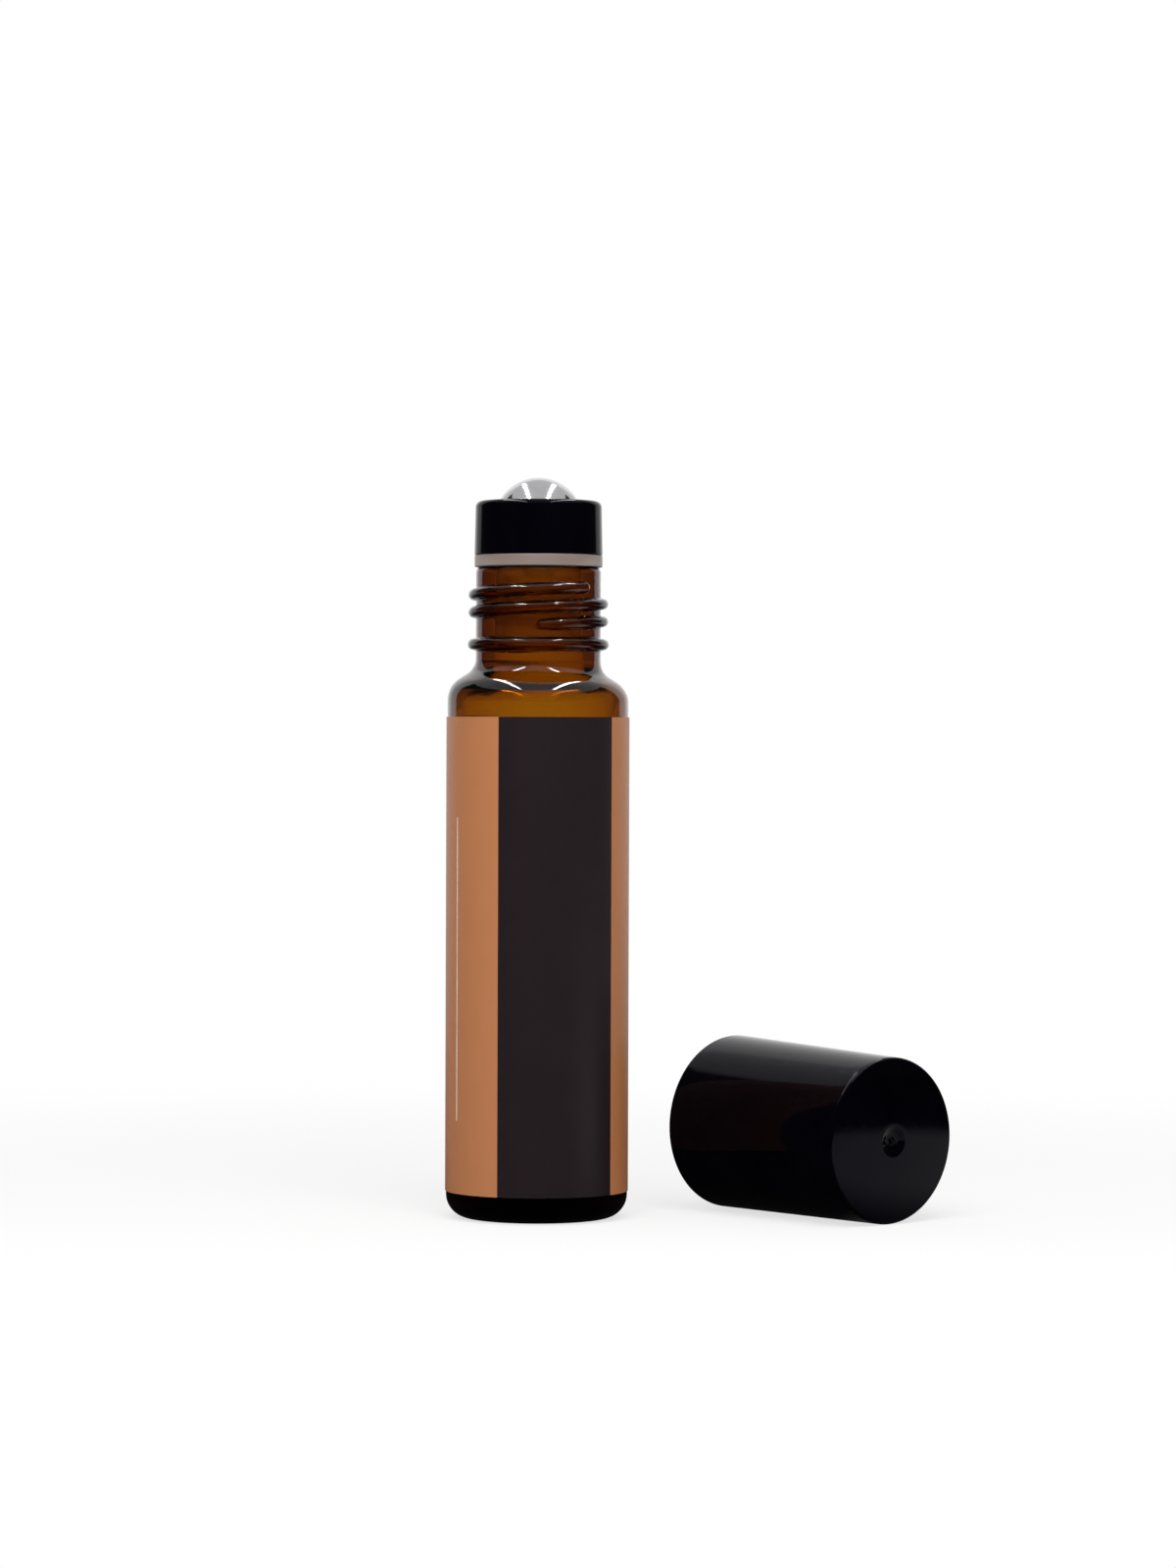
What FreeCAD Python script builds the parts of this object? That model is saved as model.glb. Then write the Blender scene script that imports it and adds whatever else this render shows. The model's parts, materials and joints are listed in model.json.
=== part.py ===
import FreeCAD, Part
import math
import os
import Sketcher

# Driving dimensions, in millimetres and degrees. Heights run up from the surface that the bottle stands on.
sizes = {
    # Glass bottle
    "body_diameter": 20.0,
    "body_height": 58.4,        # up to where the side would meet the shoulder's slope
    "glass_wall": 1.6,
    "base_thickness": 3.2,
    "heel_round": 2.6,
    "resting_ring_bore": 10.4,  # inner diameter of the ring that the bottle stands on
    "push_up": 0.9,             # hollow under the base
    "inner_heel_round": 2.0,
    "shoulder_slope": 33.0,
    "shoulder_round": 2.8,
    "inner_shoulder_round": 1.4,
    "neck_diameter": 13.8,
    "neck_length": 11.3,        # from the shoulder's slope to the lip
    "neck_wall": 2.0,
    "neck_round": 2.0,
    "inner_neck_round": 2.4,
    "lip_round": 0.6,
    "bead_diameter": 15.6,      # transfer bead under the thread
    "bead_round": 0.65,
    "bead_rise": 2.8,           # from the top of the shoulder's slope to the bead's middle
    # Wrapped label
    "label_film": 0.02,
    "label_thickness": 0.08,
    "label_bottom": 3.0,
    "label_top_margin": 3.2,
    "label_gap": 4.0,           # bare strip at the back, where the label's ends stop
    # Sealing plug
    "flange_thickness": 1.3,
    "flange_setback": 0.03,
    "barrel_length": 8.0,
    "barrel_clearance": 0.18,
    "barrel_wall": 1.2,
    "rib_fit": 0.02,
    "rib_width": 0.6,
    "rib_spacing": 1.6,
    "rib_count": 3,
    "first_rib_depth": 2.2,     # below the lip
    "floor_thickness": 1.0,
    "feed_bore": 2.8,
    "channel_depth": 0.45,
    "channel_angle": 16.0,
    "channel_count": 4,
    "collar_wall": 1.0,
    "collar_drop": 0.4,         # from the ball's equator down to the collar's top
    "snap_height": 0.16,
    "snap_half_width": 0.35,
    "snap_rise": 1.5,           # from the flange up to the snap bead
    # Roller housing
    "housing_height": 6.0,
    "housing_wall": 2.0,
    "housing_draft": 1.2,
    "housing_top_round": 0.7,
    "snap_clearance": 0.04,
    "collar_gap": 0.1,
    # Steel ball
    "ball_diameter": 10.0,
    "ball_clearance": 0.08,
    "ball_proud": 2.6,          # height of the ball above the housing
    # Screw cap
    "cap_overlap": 11.1,        # how far the closed cap reaches below the lip
    "cap_clearance": 0.2,
    "cap_wall": 1.7,
    "cap_draft": 1.27,
    "cap_top_wall": 2.25,
    "cap_dome": 0.4,
    "cap_edge_round": 0.45,
    "ball_headroom": 2.5,
    "chamber_clearance": 0.35,
    "chamber_drop": 0.9,        # from the lip down to the step between thread bore and chamber
    "seal_ring_setback": 0.25,
    "seal_ring_wall": 0.9,
    "gate_dish": 3.4,
    "gate_dish_depth": 0.35,
    "gate_nub": 0.8,
    "gate_nub_height": 0.2,
    "cap_gap": 5.1,             # between bottle and cap as the cap lies beside it
    "cap_shift": 4.86,          # along the cap's axis, from beside the bottle to the rim
    "cap_heading": -49.74,      # direction of the closed end, from the right-hand side
    # Oil
    "oil_film": 0.03,
    "oil_headspace": 9.2,       # from the shoulder down to the oil's level
}

document = FreeCAD.newDocument("RollOnBottle")
sheet = document.addObject("Spreadsheet::Sheet", "Sizes")
for row, (alias, number) in enumerate(sizes.items(), start=1):
    sheet.set(f"A{row}", alias)
    sheet.set(f"B{row}", str(number))
    sheet.setAlias(f"B{row}", alias)
document.recompute()

# Expressions that several pieces share, each built from the sheet's cells.
body_radius = "Sizes.body_diameter / 2"
neck_radius = "Sizes.neck_diameter / 2"
bore_radius = f"({neck_radius} - Sizes.neck_wall)"
cavity_radius = f"({body_radius} - Sizes.glass_wall)"
slope_top = f"(Sizes.body_height + ({body_radius} - {neck_radius}) * tan(Sizes.shoulder_slope))"
lip_top = f"({slope_top} + Sizes.neck_length)"
flange_top = f"({lip_top} + Sizes.flange_thickness)"
housing_top = f"({flange_top} + Sizes.housing_height)"
ball_radius = "Sizes.ball_diameter / 2"
ball_level = f"({housing_top} + Sizes.ball_proud - {ball_radius})"
seat_radius = f"({ball_radius} + Sizes.ball_clearance)"
collar_top = f"({ball_level} - Sizes.collar_drop)"
collar_radius = f"({seat_radius} + Sizes.collar_wall)"
housing_radius = f"({seat_radius} + Sizes.housing_wall)"
mouth_radius = f"sqrt({seat_radius}^2 - ({ball_radius} - Sizes.ball_proud)^2)"
snap_level = f"({flange_top} + Sizes.snap_rise)"


def value_of(expression):
    return float(sheet.evalExpression(expression))


def new_body(name):
    body = document.addObject("PartDesign::Body", name)
    body.Label = name
    return body


def origin_plane(body, role):
    return next(feature for feature in body.Origin.OriginFeatures if feature.Role == role)


# Centre, on the axis, of the arc between two points of a profile that is turned about that axis.
def axis_arc(start, end):
    level = (start.dot(start) - end.dot(end)) / (2 * (start.y - end.y))
    centre = FreeCAD.Vector(0, level, 0)
    angles = [math.atan2(point.y - level, point.x) for point in (start, end)]
    circle = Part.Circle(centre, FreeCAD.Vector(0, 0, 1), (start - centre).Length)
    return Part.ArcOfCircle(circle, min(angles), max(angles)), angles[0] < angles[1]


def bind(sketch, kind, geometry, point, expression):
    constraint = Sketcher.Constraint(kind, -1, 1, geometry, point, value_of(expression))
    index = sketch.addConstraint(constraint)
    sketch.setExpression(f"Constraints[{index}]", expression)


# A half section in the XZ plane. Corners are (radius, height) pairs of expressions in order round the outline,
# and the sides named in arcs, counted from the first corner, are arcs centred on the axis.
def half_section(body, name, corners, arcs=()):
    sketch = body.newObject("Sketcher::SketchObject", name)
    sketch.AttachmentSupport = [(origin_plane(body, "XZ_Plane"), "")]
    sketch.MapMode = "FlatFace"
    points = [FreeCAD.Vector(value_of(radius), value_of(height), 0) for radius, height in corners]
    ends = []
    for side, start in enumerate(points):
        finish = points[(side + 1) % len(points)]
        forward = True
        curve = Part.LineSegment(start, finish)
        if side in arcs:
            curve, forward = axis_arc(start, finish)
        sketch.addGeometry(curve)
        ends.append((1, 2) if forward else (2, 1))
    for side in range(len(points)):
        following = (side + 1) % len(points)
        sketch.addConstraint(
            Sketcher.Constraint("Coincident", side, ends[side][1], following, ends[following][0]))
        if side in arcs:
            sketch.addConstraint(Sketcher.Constraint("PointOnObject", side, 3, -2))
    for side, (radius, height) in enumerate(corners):
        if radius == "0":
            sketch.addConstraint(Sketcher.Constraint("PointOnObject", side, ends[side][0], -2))
        else:
            bind(sketch, "DistanceX", side, ends[side][0], radius)
        if height == "0":
            sketch.addConstraint(Sketcher.Constraint("PointOnObject", side, ends[side][0], -1))
        else:
            bind(sketch, "DistanceY", side, ends[side][0], height)
    return sketch


# A rib with a half-round crest: it runs out from the root radius to the crest, and is turned about the axis.
def crest_section(body, name, root, crest, height, crest_round):
    sketch = body.newObject("Sketcher::SketchObject", name)
    sketch.AttachmentSupport = [(origin_plane(body, "XZ_Plane"), "")]
    sketch.MapMode = "FlatFace"
    middle = f"({crest} - {crest_round})"
    half_width = FreeCAD.Vector(0, value_of(crest_round), 0)
    centre = FreeCAD.Vector(value_of(middle), value_of(height), 0)
    foot = FreeCAD.Vector(value_of(root), value_of(height), 0)
    circle = Part.Circle(centre, FreeCAD.Vector(0, 0, 1), half_width.y)
    lower = sketch.addGeometry(Part.LineSegment(foot - half_width, centre - half_width))
    tip = sketch.addGeometry(Part.ArcOfCircle(circle, -math.pi / 2, math.pi / 2))
    upper = sketch.addGeometry(Part.LineSegment(centre + half_width, foot + half_width))
    inner = sketch.addGeometry(Part.LineSegment(foot + half_width, foot - half_width))
    sketch.addConstraint([
        Sketcher.Constraint("Tangent", lower, 2, tip, 1),
        Sketcher.Constraint("Tangent", tip, 2, upper, 1),
        Sketcher.Constraint("Coincident", upper, 2, inner, 1),
        Sketcher.Constraint("Coincident", inner, 2, lower, 1),
        Sketcher.Constraint("Horizontal", lower),
        Sketcher.Constraint("Horizontal", upper),
        Sketcher.Constraint("Vertical", inner),
    ])
    bind(sketch, "DistanceX", inner, 1, root)
    bind(sketch, "DistanceX", tip, 3, middle)
    bind(sketch, "DistanceY", tip, 3, height)
    index = sketch.addConstraint(Sketcher.Constraint("Radius", tip, half_width.y))
    sketch.setExpression(f"Constraints[{index}]", crest_round)
    return sketch


def revolve(body, name, sketch, angle="360"):
    feature = body.newObject("PartDesign::Revolution", name)
    feature.Profile = sketch
    feature.ReferenceAxis = (sketch, ["V_Axis"])
    feature.setExpression("Angle", angle)
    document.recompute()
    return feature


def groove(body, name, sketch, angle="360"):
    before = body.Shape.Volume
    feature = body.newObject("PartDesign::Groove", name)
    feature.Profile = sketch
    feature.ReferenceAxis = (sketch, ["V_Axis"])
    feature.setExpression("Angle", angle)
    feature.Midplane = True
    document.recompute()
    if not body.Shape.Volume < before:
        raise RuntimeError(f"{name} cuts nothing")
    return feature


# Rounds the circular edges that have the given radius and height.
def round_edges(body, name, size, circles):
    base = body.Tip
    tolerance = 1e-4
    wanted = [(value_of(radius), value_of(height)) for radius, height in circles]
    edges = []
    for number, edge in enumerate(base.Shape.Edges, start=1):
        if edge.Degenerated or not isinstance(edge.Curve, Part.Circle):
            continue
        place = (edge.Curve.Radius, edge.Curve.Center.z)
        if any(math.dist(place, target) < tolerance for target in wanted):
            edges.append(f"Edge{number}")
    if len(edges) != len(wanted):
        raise RuntimeError(f"{name} finds {len(edges)} of {len(wanted)} edges")
    fillet = body.newObject("PartDesign::Fillet", name)
    fillet.Base = (base, edges)
    fillet.setExpression("Radius", size)
    document.recompute()


def repeat(body, pattern, name, feature, count):
    copies = body.newObject(f"PartDesign::{pattern}", name)
    copies.Originals = [feature]
    copies.setExpression("Occurrences", count)
    body.Tip = copies
    return copies


def make_glass_bottle():
    body = new_body("glass_bottle")
    inner_drop = "Sizes.glass_wall / cos(Sizes.shoulder_slope)"
    inner_low = f"(Sizes.body_height + Sizes.glass_wall * tan(Sizes.shoulder_slope) - {inner_drop})"
    inner_high = (
        f"(Sizes.body_height + ({body_radius} - {bore_radius}) * tan(Sizes.shoulder_slope) - {inner_drop})")
    outline = half_section(body, "glass_outline", [
        ("0", "Sizes.push_up"),
        ("Sizes.resting_ring_bore / 2", "0"),
        (body_radius, "0"),
        (body_radius, "Sizes.body_height"),
        (neck_radius, slope_top),
        (neck_radius, lip_top),
        (bore_radius, lip_top),
        (bore_radius, inner_high),
        (cavity_radius, inner_low),
        (cavity_radius, "Sizes.base_thickness"),
        ("0", "Sizes.base_thickness"),
    ], arcs=[0])
    revolve(body, "glass_wall", outline)
    round_edges(body, "heel", "Sizes.heel_round", [(body_radius, "0")])
    round_edges(body, "shoulder", "Sizes.shoulder_round", [(body_radius, "Sizes.body_height")])
    round_edges(body, "neck_foot", "Sizes.neck_round", [(neck_radius, slope_top)])
    round_edges(body, "lip", "Sizes.lip_round", [(neck_radius, lip_top), (bore_radius, lip_top)])
    round_edges(body, "inner_neck", "Sizes.inner_neck_round", [(bore_radius, inner_high)])
    round_edges(body, "inner_shoulder", "Sizes.inner_shoulder_round", [(cavity_radius, inner_low)])
    round_edges(body, "inner_heel", "Sizes.inner_heel_round", [(cavity_radius, "Sizes.base_thickness")])
    bead = crest_section(
        body, "bead_section", f"{neck_radius} - Sizes.neck_wall / 2", "Sizes.bead_diameter / 2",
        f"{slope_top} + Sizes.bead_rise", "Sizes.bead_round")
    revolve(body, "transfer_bead", bead)
    return body


def make_wrap_label():
    body = new_body("wrap_label")
    inner = f"({body_radius} + Sizes.label_film)"
    outer = f"({inner} + Sizes.label_thickness)"
    top = "(Sizes.body_height - Sizes.label_top_margin)"
    outline = half_section(body, "label_section", [
        (inner, "Sizes.label_bottom"),
        (outer, "Sizes.label_bottom"),
        (outer, top),
        (inner, top),
    ])
    gap_angle = "(Sizes.label_gap / (Sizes.body_diameter * pi) * 360)"
    revolve(body, "label_sheet", outline, f"360 - {gap_angle}")
    body.setExpression(
        "Placement",
        f"create(<<placement>>; create(<<vector>>; 0; 0; 0); create(<<rotation>>; 90 + {gap_angle} / 2; 0; 0))")
    document.recompute()
    return body


def make_sealing_plug():
    body = new_body("sealing_plug")
    barrel_radius = f"({bore_radius} - Sizes.barrel_clearance)"
    barrel_bore = f"({barrel_radius} - Sizes.barrel_wall)"
    barrel_foot = f"({lip_top} - Sizes.barrel_length)"
    flange_radius = f"({housing_radius} - Sizes.flange_setback)"
    feed_radius = "Sizes.feed_bore / 2"
    floor_under = f"({ball_level} - {seat_radius} - Sizes.floor_thickness)"
    outline = half_section(body, "plug_outline", [
        (barrel_bore, barrel_foot),
        (barrel_radius, barrel_foot),
        (barrel_radius, lip_top),
        (flange_radius, lip_top),
        (flange_radius, flange_top),
        (collar_radius, flange_top),
        (collar_radius, collar_top),
        (f"sqrt({seat_radius}^2 - Sizes.collar_drop^2)", collar_top),
        (feed_radius, f"{ball_level} - sqrt({seat_radius}^2 - ({feed_radius})^2)"),
        (feed_radius, floor_under),
        (barrel_bore, floor_under),
    ], arcs=[7])
    revolve(body, "plug_wall", outline)
    snap = half_section(body, "snap_section", [
        (f"{collar_radius} - Sizes.collar_wall / 2", f"{snap_level} - Sizes.snap_half_width"),
        (collar_radius, f"{snap_level} - Sizes.snap_half_width"),
        (f"{collar_radius} + Sizes.snap_height", snap_level),
        (collar_radius, f"{snap_level} + Sizes.snap_half_width"),
        (f"{collar_radius} - Sizes.collar_wall / 2", f"{snap_level} + Sizes.snap_half_width"),
    ])
    revolve(body, "snap_bead", snap)
    rib_level = f"({lip_top} - Sizes.first_rib_depth)"
    rib = half_section(body, "rib_section", [
        (f"{barrel_radius} - Sizes.barrel_wall / 2", f"{rib_level} - Sizes.rib_width / 2"),
        (barrel_radius, f"{rib_level} - Sizes.rib_width / 2"),
        (f"{bore_radius} - Sizes.rib_fit", rib_level),
        (barrel_radius, f"{rib_level} + Sizes.rib_width / 2"),
        (f"{barrel_radius} - Sizes.barrel_wall / 2", f"{rib_level} + Sizes.rib_width / 2"),
    ])
    sealing_rib = revolve(body, "sealing_rib", rib)
    ribs = repeat(body, "LinearPattern", "sealing_ribs", sealing_rib, "Sizes.rib_count")
    ribs.Direction = (rib, ["V_Axis"])
    ribs.Reversed = True
    ribs.setExpression("Length", "Sizes.rib_spacing * (Sizes.rib_count - 1)")
    document.recompute()
    channel_radius = f"({seat_radius} + Sizes.channel_depth)"
    channel = half_section(body, "channel_section", [
        (feed_radius, f"{ball_level} - sqrt({channel_radius}^2 - ({feed_radius})^2)"),
        (channel_radius, ball_level),
        (feed_radius, ball_level),
    ], arcs=[0])
    oil_channel = groove(body, "oil_channel", channel, "Sizes.channel_angle")
    channels = repeat(body, "PolarPattern", "oil_channels", oil_channel, "Sizes.channel_count")
    channels.Axis = (channel, ["V_Axis"])
    channels.Angle = 360
    document.recompute()
    return body


def make_roller_housing():
    body = new_body("roller_housing")
    bore = f"({collar_radius} + Sizes.snap_clearance)"
    top_radius = f"({housing_radius} - Sizes.housing_height * tan(Sizes.housing_draft))"
    ledge = f"({collar_top} + Sizes.collar_gap)"
    outline = half_section(body, "housing_outline", [
        (bore, flange_top),
        (housing_radius, flange_top),
        (top_radius, housing_top),
        (mouth_radius, housing_top),
        (f"sqrt({seat_radius}^2 - (Sizes.collar_drop - Sizes.collar_gap)^2)", ledge),
        (bore, ledge),
    ], arcs=[3])
    revolve(body, "housing_wall", outline)
    snap = half_section(body, "snap_section", [
        (f"{bore} - Sizes.snap_clearance", f"{snap_level} - Sizes.snap_half_width - Sizes.snap_clearance"),
        (bore, f"{snap_level} - Sizes.snap_half_width - Sizes.snap_clearance"),
        (f"{bore} + Sizes.snap_height", snap_level),
        (bore, f"{snap_level} + Sizes.snap_half_width + Sizes.snap_clearance"),
        (f"{bore} - Sizes.snap_clearance", f"{snap_level} + Sizes.snap_half_width + Sizes.snap_clearance"),
    ])
    groove(body, "snap_groove", snap)
    round_edges(body, "top_edge", "Sizes.housing_top_round", [(top_radius, housing_top)])
    return body


def make_roller_ball():
    ball = document.addObject("Part::Sphere", "roller_ball")
    ball.Label = "roller_ball"
    ball.setExpression("Radius", ball_radius)
    ball.setExpression("Placement.Base.z", ball_level)
    document.recompute()
    return ball


# The cap is drawn with its rim at height 0 and then laid on its side, its tapered wall flat on the surface.
def make_screw_cap():
    body = new_body("screw_cap")
    bore = "(Sizes.bead_diameter / 2 + Sizes.cap_clearance)"
    rim_radius = f"({bore} + Sizes.cap_wall)"
    seal_level = "(Sizes.cap_overlap + Sizes.flange_thickness + Sizes.housing_height)"
    ceiling = f"({seal_level} + Sizes.ball_proud + Sizes.ball_headroom)"
    length = f"({ceiling} + Sizes.cap_top_wall)"
    crown = f"({length} + Sizes.cap_dome)"
    top_radius = f"({rim_radius} - {length} * tan(Sizes.cap_draft))"
    chamber_radius = f"({housing_radius} + Sizes.chamber_clearance)"
    step_level = "(Sizes.cap_overlap - Sizes.chamber_drop)"
    ring_bore = f"({mouth_radius} + Sizes.seal_ring_setback)"
    ring_radius = f"({ring_bore} + Sizes.seal_ring_wall)"
    outline = half_section(body, "cap_outline", [
        (bore, "0"),
        (rim_radius, "0"),
        (top_radius, length),
        ("0", crown),
        ("0", ceiling),
        (ring_bore, ceiling),
        (ring_bore, seal_level),
        (ring_radius, seal_level),
        (ring_radius, ceiling),
        (chamber_radius, ceiling),
        (chamber_radius, step_level),
        (bore, step_level),
    ], arcs=[2])
    revolve(body, "cap_wall", outline)
    round_edges(body, "closed_edge", "Sizes.cap_edge_round", [(top_radius, length)])
    dish_floor = f"({crown} - Sizes.gate_dish_depth)"
    dish = half_section(body, "gate_dish_section", [
        ("0", dish_floor),
        ("Sizes.gate_dish / 2", crown),
        ("0", crown),
    ], arcs=[0])
    groove(body, "gate_dish", dish)
    nub = half_section(body, "gate_nub_section", [
        ("0", f"{dish_floor} - Sizes.gate_dish_depth"),
        ("Sizes.gate_nub / 2", f"{dish_floor} - Sizes.gate_dish_depth"),
        ("Sizes.gate_nub / 2", f"{dish_floor} + Sizes.gate_nub_height"),
        ("0", f"{dish_floor} + Sizes.gate_nub_height"),
    ])
    revolve(body, "gate_nub", nub)
    reach = f"({body_radius} + Sizes.cap_gap + {rim_radius})"
    place_x = f"-sin(Sizes.cap_heading) * {reach} + cos(Sizes.cap_heading) * Sizes.cap_shift"
    place_y = f"cos(Sizes.cap_heading) * {reach} + sin(Sizes.cap_heading) * Sizes.cap_shift"
    place_z = f"{rim_radius} * cos(Sizes.cap_draft)"
    body.setExpression(
        "Placement",
        f"create(<<placement>>; create(<<vector>>; {place_x}; {place_y}; {place_z}); "
        "create(<<rotation>>; Sizes.cap_heading; 90 + Sizes.cap_draft; 0))")
    document.recompute()
    return body


def make_oil_fill():
    body = new_body("oil_fill")
    radius = f"({cavity_radius} - Sizes.oil_film)"
    floor = "(Sizes.base_thickness + Sizes.oil_film)"
    level = "(Sizes.body_height - Sizes.oil_headspace)"
    outline = half_section(body, "oil_outline", [
        ("0", floor),
        (radius, floor),
        (radius, level),
        ("0", level),
    ])
    revolve(body, "oil_column", outline)
    round_edges(body, "oil_heel", "Sizes.inner_heel_round", [(radius, floor)])
    return body


pieces = [
    make_glass_bottle(),
    make_wrap_label(),
    make_sealing_plug(),
    make_roller_housing(),
    make_roller_ball(),
    make_screw_cap(),
    make_oil_fill(),
]
document.recompute()

for item in document.Objects:
    if "Invalid" in item.State or "Error" in item.State:
        raise RuntimeError(f"{item.Name} could not be built")
for piece in pieces:
    if piece.Shape.isNull() or not piece.Shape.isValid() or len(piece.Shape.Solids) != 1:
        raise RuntimeError(f"{piece.Label} is not one sound solid")

os.makedirs("parts", exist_ok=True)
for piece in pieces:
    piece.Shape.exportStep(f"parts/{piece.Label}.step")
    print(piece.Label, round(piece.Shape.Volume, 1), "mm3")
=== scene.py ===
import json
import math

import bmesh
import bpy
import numpy as np
from mathutils import Matrix, Vector


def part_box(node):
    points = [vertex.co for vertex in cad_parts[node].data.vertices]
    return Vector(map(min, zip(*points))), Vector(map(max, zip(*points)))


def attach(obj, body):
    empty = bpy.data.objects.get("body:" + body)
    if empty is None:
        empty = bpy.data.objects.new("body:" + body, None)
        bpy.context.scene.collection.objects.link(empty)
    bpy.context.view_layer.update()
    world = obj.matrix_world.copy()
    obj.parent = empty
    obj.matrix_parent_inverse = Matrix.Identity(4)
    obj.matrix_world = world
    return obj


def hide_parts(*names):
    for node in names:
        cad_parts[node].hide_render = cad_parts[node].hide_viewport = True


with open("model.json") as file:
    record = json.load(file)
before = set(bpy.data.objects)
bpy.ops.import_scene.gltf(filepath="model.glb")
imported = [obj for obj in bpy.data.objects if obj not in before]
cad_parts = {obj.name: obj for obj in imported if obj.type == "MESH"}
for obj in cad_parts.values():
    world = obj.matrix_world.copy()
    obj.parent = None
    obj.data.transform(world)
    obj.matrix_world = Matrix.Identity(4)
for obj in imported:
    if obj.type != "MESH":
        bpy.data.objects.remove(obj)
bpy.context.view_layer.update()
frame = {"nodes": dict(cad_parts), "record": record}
scene = bpy.context.scene
scene.view_settings.view_transform = "Standard"
mm = 0.001  # sizes of pieces are in millimetres, Blender's in metres
print("frame loaded:", ", ".join(sorted(frame["nodes"])))


# Lowest and highest corner of a CAD node, in millimetres
def nodeBox(node):
    low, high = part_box(node)
    return low / mm, high / mm


# Outline of a section. A corner is (radius, height) or (radius, height, rounding).
def roundedOutline(corners, arcStep=5.0):
    points = []
    for index, (radius, height, *rounding) in enumerate(corners):
        here = np.array((radius, height), float)
        if not rounding:
            points.append(here)
            continue
        before = np.array(corners[index - 1][:2]) - here
        after = np.array(corners[(index + 1) % len(corners)][:2]) - here
        before = before / np.linalg.norm(before)
        after = after / np.linalg.norm(after)
        half = math.acos(before @ after) / 2
        centre = here + (before + after) / np.linalg.norm(before + after) * rounding[0] / math.sin(half)
        start = here + before * rounding[0] / math.tan(half) - centre
        end = here + after * rounding[0] / math.tan(half) - centre
        swing = math.pi - 2 * half
        steps = max(3, math.ceil(math.degrees(swing) / arcStep))
        for part in np.linspace(0, 1, steps + 1):
            spoke = start * math.sin((1 - part) * swing) + end * math.sin(part * swing)
            points.append(centre + spoke / math.sin(swing))
    return points


# Splits the long runs of an outline, so that the surface can be shaped between its corners
def fineOutline(points, spacing):
    fine = [points[0]]
    for start, end in zip(points, points[1:]):
        count = max(1, math.ceil(np.linalg.norm(end - start) / spacing))
        fine += [start + (end - start) * step / count for step in range(1, count + 1)]
    return fine


# Turns an outline about the Z axis. The outside of the piece is the side that the outline climbs.
def turnedMesh(name, outline, segments, shape=None, closed=False):
    outline = np.array(outline)
    rings = len(outline)
    angle = np.tile(np.arange(segments) * 2 * np.pi / segments, (rings, 1))
    radius = np.repeat(outline[:, :1], segments, axis=1)
    height = np.repeat(outline[:, 1:], segments, axis=1)
    if shape:
        radius, height = shape(radius, height, angle)
    places = np.stack((radius * np.cos(angle), radius * np.sin(angle), height), axis=-1)
    faces = []
    for ring in range(rings if closed else rings - 1):
        low = ring * segments
        high = (ring + 1) % rings * segments
        for here in range(segments):
            beside = (here + 1) % segments
            faces.append((low + here, low + beside, high + beside, high + here))
    return finishedMesh(name, places.reshape(-1, 3) * mm, faces)


# Welds the points that meet on the axis and shades the mesh smooth between its sharp edges
def finishedMesh(name, places, faces, sharpAngle=38, weldDistance=1e-7):
    mesh = bpy.data.meshes.new(name)
    mesh.from_pydata(places.tolist(), [], faces)
    work = bmesh.new()
    work.from_mesh(mesh)
    bmesh.ops.remove_doubles(work, verts=work.verts, dist=weldDistance)
    work.to_mesh(mesh)
    work.free()
    mesh.shade_smooth()
    mesh.set_sharp_from_angle(angle=math.radians(sharpAngle))
    return mesh


def addPiece(name, mesh, body, node):
    piece = bpy.data.objects.new(name, mesh)
    scene.collection.objects.link(piece)
    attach(piece, body)
    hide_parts(node)
    print("piece", name, len(mesh.polygons), "faces")


def smoothMax(first, second, blend):
    near = np.maximum(blend - np.abs(first - second), 0) / blend
    return np.maximum(first, second) + near * near * blend / 4


def smoothStep(part):
    part = np.clip(part, 0, 1)
    return part * part * (3 - 2 * part)


# Sum of waves round the axis. A wave is (size, count, twist per millimetre of height, start).
def ripples(angle, height, waves):
    return sum(size * np.sin(count * angle + twist * height + start) for size, count, twist, start in waves)


# How far a round bead stands out of its wall at a distance from the bead's middle line
def beadRise(distance, rise, rounding, blend, steepness=4):
    crest = rise - rounding + np.sqrt(np.maximum(rounding**2 - distance**2, 0))
    crest = crest - steepness * np.maximum(distance - rounding, 0)
    return smoothMax(crest, 0, blend)


# A bead that winds down from its upper end as a right-hand thread, with rounded ends and a tapered run-out
def threadRise(angle, height, wallRadius, thread):
    rise = np.zeros_like(height)
    firstTurn = (thread["upperAngle"] - np.degrees(angle)) % 360
    for turn in range(-1, math.ceil(thread["sweep"] / 360) + 1):
        travel = firstTurn + 360 * turn
        held = np.clip(travel, 0, thread["sweep"])
        along = np.radians(travel - held) * wallRadius
        across = height - thread["upperHeight"] + thread["pitch"] * held / 360
        ending = smoothStep((thread["sweep"] - held) / thread["taper"])
        full = thread["tip"] + (1 - thread["tip"]) * ending
        rounding = thread["rounding"] * full
        bead = beadRise(np.hypot(along, across), thread["rise"] * full, rounding, thread["blend"])
        rise = np.maximum(rise, bead)
    return rise


# A shader node with its inputs set, or linked where the value is a socket
def addNode(tree, kind, inputs=None, **settings):
    node = tree.nodes.new("ShaderNode" + kind)
    for key, value in settings.items():
        setattr(node, key, value)
    for key, value in (inputs or {}).items():
        if isinstance(value, bpy.types.NodeSocket):
            tree.links.new(value, node.inputs[key])
        else:
            node.inputs[key].default_value = value
    return node


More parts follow.
